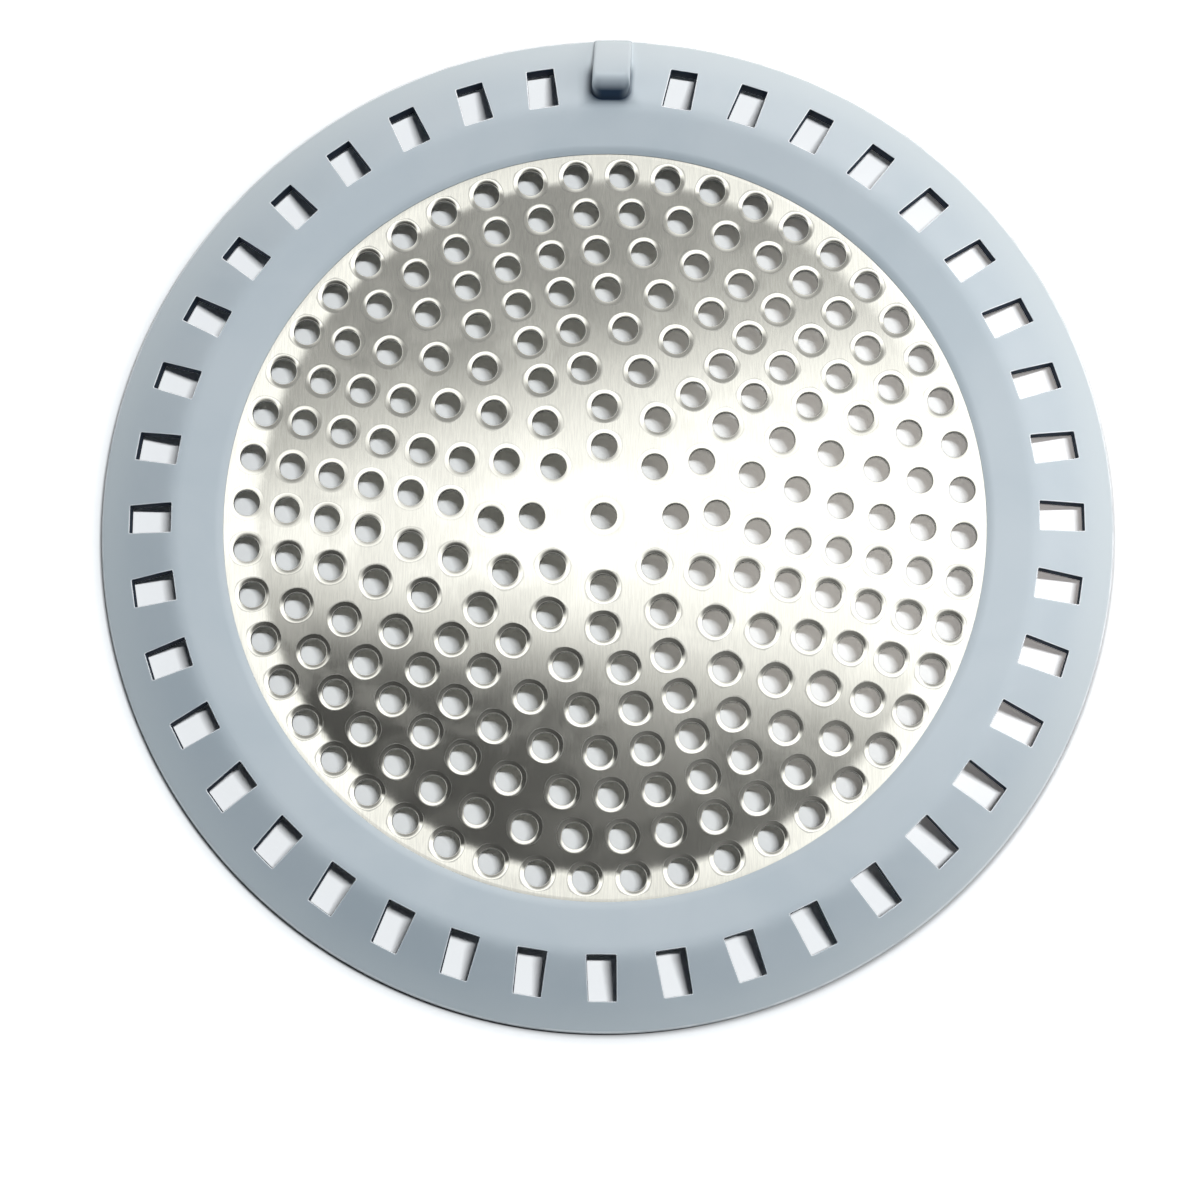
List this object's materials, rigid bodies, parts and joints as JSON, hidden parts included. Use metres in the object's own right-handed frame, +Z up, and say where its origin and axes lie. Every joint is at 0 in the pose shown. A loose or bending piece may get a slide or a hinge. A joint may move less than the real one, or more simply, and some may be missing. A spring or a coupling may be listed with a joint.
{
  "type": "shower drain hair catcher",
  "caption": "Round low drain cover: a shallow domed perforated steel strainer plate held in a sloped silicone ring with radial slots and a small lift tab.",
  "frame": {"origin": "centre of the flat base plane that the ring's foot stands on", "axes": "+Z up out of the dome, +Y from the centre through the lift tab, +X to the right of the tab seen from above"},
  "size_m": [0.1206, 0.1206, 0.007],
  "materials": {
    "silicone": "smooth satin moulded silicone, pale blue-grey",
    "steel": "satin brushed stainless steel with broken, polished hole edges"
  },
  "bodies": {
    "root": {"silicone_ring": "silicone", "strainer_plate": "steel"}
  },
  "joints": []
}
